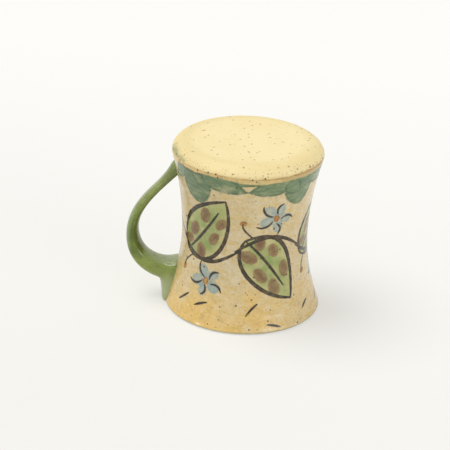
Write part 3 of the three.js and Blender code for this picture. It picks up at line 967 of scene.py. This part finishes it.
def liner(material):
    """The glaze inside: wall, corner and floor, tapered out at the lip."""
    coil_bottom = WALL_TOP - COIL_SIZE
    heights = np.linspace(LIP_HEIGHT, coil_bottom, LINER_ROWS)
    wall = flare_radius(heights) - WALL_DEPTH
    corner = np.linspace(0, math.pi / 2, CORNER_ROWS)[1:]
    floor = np.linspace(1, FLOOR_CENTRE, FLOOR_ROWS)[1:]

    def layer(depth):
        eased = depth * smooth_step(heights, LIP_HEIGHT, LIP_HEIGHT + LINER_TAPER)
        side = np.stack([wall - LINER_GAP - eased, heights], -1)
        middle = wall[-1] - LINER_GAP - COIL_SIZE
        radius = COIL_SIZE - depth
        bend = np.stack([middle + radius * np.cos(corner), coil_bottom + radius * np.sin(corner)], -1)
        flat = np.stack([floor * middle, np.full(len(floor), coil_bottom + radius)], -1)
        return np.concatenate([side, bend, flat])

    hidden = layer(0.0)
    shown = layer(LINER_DEPTH)
    profile = np.concatenate([hidden[::-1], shown[1:]])
    points, faces = capped_surface(turned(profile, LINER_COLUMNS, 0.0))
    nodes = ("liner_glaze", "base_seam_coil")
    finish_piece("liner", points, faces, nodes, material)


def base_disc(material):
    """The base, with a finger-softened edge and an almost flat face."""
    seam_radius = outer_radius(WALL_TOP)
    under_radii = np.array([FACE_CENTRE, seam_radius - SHARP_EDGE, seam_radius])
    under = np.stack([under_radii, np.full(len(under_radii), WALL_TOP)], -1)
    edge_start = math.asin((WALL_TOP + SHARP_EDGE - SHOULDER_HEIGHT) / EDGE_HEIGHT)
    turn = np.linspace(edge_start, math.pi / 2, EDGE_ROWS)
    flat_radius = SHOULDER_RADIUS - EDGE_ROUNDING
    edge_radii = flat_radius + EDGE_ROUNDING * np.cos(turn)
    edge = np.stack([edge_radii, SHOULDER_HEIGHT + EDGE_HEIGHT * np.sin(turn)], -1)
    face_radii = np.linspace(flat_radius, FACE_CENTRE, FACE_ROWS)[1:]
    face = np.stack([face_radii, np.full(len(face_radii), MUG_HEIGHT)], -1)
    grid = turned(np.concatenate([under, edge, face]), BASE_COLUMNS, 1.0)
    shown = grid[len(under):]
    x, y = shown[..., 0] / BASE_BUMP_SIZE, shown[..., 1] / BASE_BUMP_SIZE
    bumps = np.sin(x + 0.6 * y) + np.sin(1.3 * y - 0.5 * x + 1) + np.sin(0.7 * x + 1.7 * y + 2)
    shown[..., 2] -= BASE_UNEVENNESS / 6 * (bumps + 3)
    points, faces = capped_surface(grid)
    piece = finish_piece("base_disc", points, faces, ("base_slab",), material)
    angle = np.arctan2(points[:, 0] - AXIS_X, -points[:, 1])
    smudge = Unrolled(angle, points[:, 2])
    for (place, rise), (length, width) in SMUDGES:
        centre = (place * UNROLLED_RADIUS, WALL_TOP + rise)
        smudge.patch("smudge", oval(centre, length, width, 0.0))
    add_field(piece, "smudge", smudge.fields["smudge"])


def handle_rings():
    """Rings of points along the handle, from inside the wall at one end to inside it at the other."""
    base_end = np.array([outer_radius(BASE_END_HEIGHT) - COAT_DEPTH, BASE_END_HEIGHT])
    rim_end = np.array([outer_radius(RIM_END_HEIGHT) - COAT_DEPTH, RIM_END_HEIGHT])
    outermost = np.array([OUTERMOST_RADIUS, OUTERMOST_HEIGHT])
    base_way = np.array([math.cos(BASE_END_SLOPE), math.sin(BASE_END_SLOPE)])
    rim_way = np.array([math.cos(RIM_END_SLOPE), math.sin(RIM_END_SLOPE)])
    base_pull = base_end + BASE_END_PULL * base_way
    rim_pull = rim_end + RIM_END_PULL * rim_way
    upper = bezier(base_end, base_pull, outermost + (0, UPPER_PULL), outermost, PATH_STEPS)
    lower = bezier(outermost, outermost - (0, LOWER_PULL), rim_pull, rim_end, PATH_STEPS)
    upper, lower = evenly_spaced(upper), evenly_spaced(lower)
    share = np.linspace(0, 1, PATH_STEPS)[:, None]
    sections = (BASE_END_SECTION, OUTERMOST_SECTION, RIM_END_SECTION)
    first, middle, last = (np.array(section) / 2 for section in sections)
    upper_sizes = first + (middle - first) * share**2
    lower_sizes = middle + (last - middle) * share
    base_root = base_end - EMBED_DEPTH * base_way
    rim_root = rim_end - EMBED_DEPTH * rim_way
    path = np.concatenate([[base_root], upper, lower[1:], [rim_root]])
    sizes = np.concatenate([upper_sizes[:1], upper_sizes, lower_sizes[1:], lower_sizes[-1:]])
    proud = path[:, 0] - outer_radius(path[:, 1])
    at_base = path[:, 1] > OUTERMOST_HEIGHT
    near_base = np.where(at_base, np.clip(1 - proud / BASE_COLLAR_REACH, 0, 1) ** 2, 0)
    near_rim = np.where(at_base, 0, np.clip(1 - proud / RIM_COLLAR_REACH, 0, 1) ** 2)
    spread = BASE_COLLAR_SPREAD * near_base
    sizes = sizes + np.stack([spread + RIM_COLLAR_SPREAD * near_rim, spread], -1)
    along = np.gradient(path, axis=0)
    along /= np.linalg.norm(along, axis=1)[:, None]
    turn = full_turn(HANDLE_COLUMNS)
    squareness = np.concatenate([np.zeros(len(upper)), share[:, 0], [1]])[:, None]
    power = 2 / (ROUND_SECTION + (SQUARE_SECTION - ROUND_SECTION) * squareness)
    breadth = np.sign(np.cos(turn)) * np.abs(np.cos(turn)) ** power
    thickness = np.sign(np.sin(turn)) * np.abs(np.sin(turn)) ** power
    outside = (BASE_COLLAR_RISE * near_base + RIM_COLLAR_DROP * near_rim)[:, None] * (thickness > 0)
    depth = (sizes[:, 1:] + outside) * thickness
    radius = path[:, :1] - depth * along[:, 1:]
    height = path[:, 1:] + depth * along[:, :1]
    side = sizes[:, :1] * breadth
    return np.stack([AXIS_X - radius, side, height], -1)


def tail_rings():
    """Rings of the thumb-wiped tongue that runs down the wall from the handle to the rim."""
    turn = full_turn(TAIL_COLUMNS)
    rings = []
    for climb_angle in np.linspace(TAIL_START, math.pi / 2, TAIL_ROWS):
        climb = 1 - math.cos(climb_angle)
        opened = math.sin(climb_angle)
        height = np.interp(climb, (0, 1), TAIL_HEIGHTS)
        half_width = np.interp(climb, (0, 1), TAIL_HALF_WIDTHS) * opened**FOOT_WIDTH_POWER
        proud = np.interp(climb, (0, 1), TAIL_PROUD) * opened**FOOT_PROUD_POWER
        wall = outer_radius(max(height, LIP_HEIGHT))
        hollow = wall - math.sqrt(wall**2 - half_width**2)
        radius = wall - hollow + (proud + hollow) * np.cos(turn)
        side = -half_width * np.sin(turn)
        rings.append(np.stack([AXIS_X - radius, side, np.full(TAIL_COLUMNS, height)], -1))
    return np.array(rings)


def neighbours_mean(points, edges):
    first, second = edges.T
    count = np.bincount(edges.ravel(), minlength=len(points))
    sums = []
    for values in points.T:
        at_first = np.bincount(first, values[second], len(points))
        sums.append(at_first + np.bincount(second, values[first], len(points)))
    return np.stack(sums, -1) / count[:, None]


def softened(points, edges, rounds):
    """Evens out the points and swells them back after each round, so that nothing shrinks."""
    for _ in range(rounds):
        points = points + SMOOTHING_IN * (neighbours_mean(points, edges) - points)
        points = points - SWELLING_OUT * (neighbours_mean(points, edges) - points)
    return points


def outward(points, faces):
    """The direction away from the clay at each point of a mesh of four-cornered faces."""
    first, second, third, fourth = (points[faces[:, corner]] for corner in range(4))
    across = np.cross(third - first, fourth - second)
    corners = faces.ravel()
    sums = [np.bincount(corners, np.repeat(values, 4), len(points)) for values in across.T]
    normals = np.stack(sums, -1)
    return normals / np.linalg.norm(normals, axis=1)[:, None]


def creases_filled(points, edges, faces, rounds):
    """Moves the points outwards only, so that creases fill up as clay does under a thumb."""
    for _ in range(rounds):
        normals = outward(points, faces)
        rise = np.einsum("ij,ij->i", neighbours_mean(points, edges) - points, normals)
        points = points + np.clip(FILLING_SHARE * rise, 0, None)[:, None] * normals
    return points


def fused_blank():
    """Points, edges and faces of the handle and its tail, fused into one form."""
    points, faces = [], []
    for rings in (handle_rings(), tail_rings()):
        part_points, part_faces = capped_surface(rings)
        start = sum(map(len, points))
        points.append(part_points)
        faces += [tuple(start + corner for corner in face) for face in part_faces]
    blank = bpy.data.meshes.new("handle_blank")
    blank.from_pydata((np.concatenate(points) * MM).tolist(), [], faces)
    helper = new_object("handle_blank", blank)
    remesh = helper.modifiers.new("fuse", "REMESH")
    remesh.mode = "VOXEL"
    remesh.voxel_size = HANDLE_VOXEL * MM
    fused = helper.evaluated_get(bpy.context.evaluated_depsgraph_get()).to_mesh()
    places = np.empty(3 * len(fused.vertices))
    fused.vertices.foreach_get("co", places)
    edges = np.empty(2 * len(fused.edges), int)
    fused.edges.foreach_get("vertices", edges)
    fused_faces = [tuple(face.vertices) for face in fused.polygons]
    bpy.data.objects.remove(helper)
    bpy.data.meshes.remove(blank)
    return places.reshape(-1, 3) / MM, edges.reshape(-1, 2), fused_faces


def seated(points):
    """Brings what lies deep in the wall out to just under its surface."""
    across = points[:, 0] - AXIS_X
    radius = np.hypot(across, points[:, 1])
    angle = np.arctan2(across, -points[:, 1])
    height = np.clip(points[:, 2], LIP_HEIGHT, WALL_TOP)
    seat = outer_radius(height) + wobble(angle, height) - SEAT_DEPTH
    grown = np.maximum(radius, seat) / radius
    return np.stack([AXIS_X + across * grown, points[:, 1] * grown, points[:, 2]], -1)


def handle(material):
    """The handle with its worked ends, fused into one soft form and seated on the wall."""
    points, edges, faces = fused_blank()
    points = softened(points, edges, HANDLE_SMOOTHING)
    points = creases_filled(points, edges, np.array(faces), CREASE_FILLING)
    points = softened(points, edges, HANDLE_SMOOTHING)
    points = seated(points)
    nodes = ("handle_strap", "handle_glaze", "rim_end_joint", "base_end_joint")
    piece = finish_piece("handle", points, faces, nodes, material)
    normals = np.empty(3 * len(points))
    piece.data.vertices.foreach_get("normal", normals)
    inwards = np.array([AXIS_X - LOOP_MIDDLE[0], 0, LOOP_MIDDLE[1]]) - points
    inwards /= np.linalg.norm(inwards, axis=1)[:, None]
    add_field(piece, "inside_loop", np.einsum("ij,ij->i", normals.reshape(-1, 3), inwards))


# Stage


def white_where_seen(tree):
    """1 on rays that look at the surroundings, straight or in a glossy surface, else 0."""
    path = tree.nodes.new("ShaderNodeLightPath")
    either = tree.nodes.new("ShaderNodeMath")
    either.operation = "MAXIMUM"
    tree.links.new(path.outputs["Is Camera Ray"], either.inputs[0])
    tree.links.new(path.outputs["Is Glossy Ray"], either.inputs[1])
    return either.outputs[0]


def pale_floor():
    """A pale sweep of paper under the mug, a little brighter towards the back."""
    mesh = bpy.data.meshes.new("floor")
    signs = ((-1, -1), (1, -1), (1, 1), (-1, 1))
    corners = [(x * FLOOR_REACH, y * FLOOR_REACH, 0) for x, y in signs]
    mesh.from_pydata(corners, [], [(0, 1, 2, 3)])
    floor = new_object("floor", mesh)
    paint = Paint("paper")
    near, far = FLOOR_BRIGHTENS
    inputs = {"Value": paint.along("Y"), "From Min": near, "From Max": far}
    share = paint.node("ShaderNodeMapRange", {}, inputs).outputs["Result"]
    colour = paint.mix(share, PAPER_NEAR, PAPER_FAR)
    paint.put(paint.shader.inputs["Base Color"], colour)
    paint.put(paint.shader.inputs["Roughness"], FLOOR_ROUGHNESS)
    paint.put(paint.shader.inputs["Specular IOR Level"], 0.0)
    seen = white_where_seen(paint.tree)
    glow = paint.node("ShaderNodeEmission", {}, {"Color": colour}).outputs[0]
    inputs = {0: paint.times(seen, FLOOR_GLOW), 1: paint.shader.outputs[0], 2: glow}
    both = paint.node("ShaderNodeMixShader", {}, inputs).outputs[0]
    paint.put(paint.tree.nodes["Material Output"].inputs["Surface"], both)
    mesh.materials.append(paint.material)


def aimed(light, place):
    """A lamp with this light that shines from the direction of this place."""
    lamp = new_object(light.name, light)
    lamp.rotation_mode = "QUATERNION"
    lamp.rotation_quaternion = Vector(place).to_track_quat("Z", "Y")
    return lamp


def studio_light():
    world = bpy.data.worlds.new("studio")
    world.use_nodes = True
    tree = world.node_tree
    background = tree.nodes["Background"]
    background.inputs["Color"].default_value = (1, 1, 1, 1)
    strength = tree.nodes.new("ShaderNodeMapRange")
    strength.inputs["To Min"].default_value = AMBIENT
    tree.links.new(white_where_seen(tree), strength.inputs["Value"])
    tree.links.new(strength.outputs["Result"], background.inputs["Strength"])
    bpy.context.scene.world = world
    key = bpy.data.lights.new("key", "SUN")
    key.energy = KEY_STRENGTH
    key.angle = KEY_SPREAD
    aimed(key, KEY_FROM)
    panels = (
        ("fill", FILL_FROM, FILL_SIZE, FILL_POWER),
        ("glint", GLINT_FROM, GLINT_SIZE, GLINT_POWER),
    )
    for name, place, size, power in panels:
        panel = bpy.data.lights.new(name, "AREA")
        panel.shape = "RECTANGLE"
        panel.size, panel.size_y = size
        panel.energy = power
        aimed(panel, place).location = place


def photo_camera():
    data = bpy.data.cameras.new("camera")
    data.lens = CAMERA_LENS
    data.sensor_width = SENSOR_WIDTH
    camera = new_object("camera", data)
    level = math.cos(CAMERA_ELEVATION)
    east, south = math.sin(CAMERA_AZIMUTH) * level, math.cos(CAMERA_AZIMUTH) * level
    back = Vector((east, -south, math.sin(CAMERA_ELEVATION)))
    target = Vector((AXIS_X, 0, MUG_HEIGHT / 2)) * MM
    turn = back.to_track_quat("Z", "Y").to_matrix().to_4x4() @ Matrix.Rotation(CAMERA_ROLL, 4, "Z")
    aside = turn @ Vector((CAMERA_RIGHT, CAMERA_UP, 0)) * MM
    camera.matrix_world = Matrix.Translation(target + back * CAMERA_DISTANCE * MM + aside) @ turn
    bpy.context.scene.camera = camera


photo_camera()
studio_light()
pale_floor()
painted_wall(painted_glaze())
liner(cream_glaze())
base_disc(cream_base())
handle(green_glaze())

bpy.context.scene.view_settings.view_transform = "Standard"
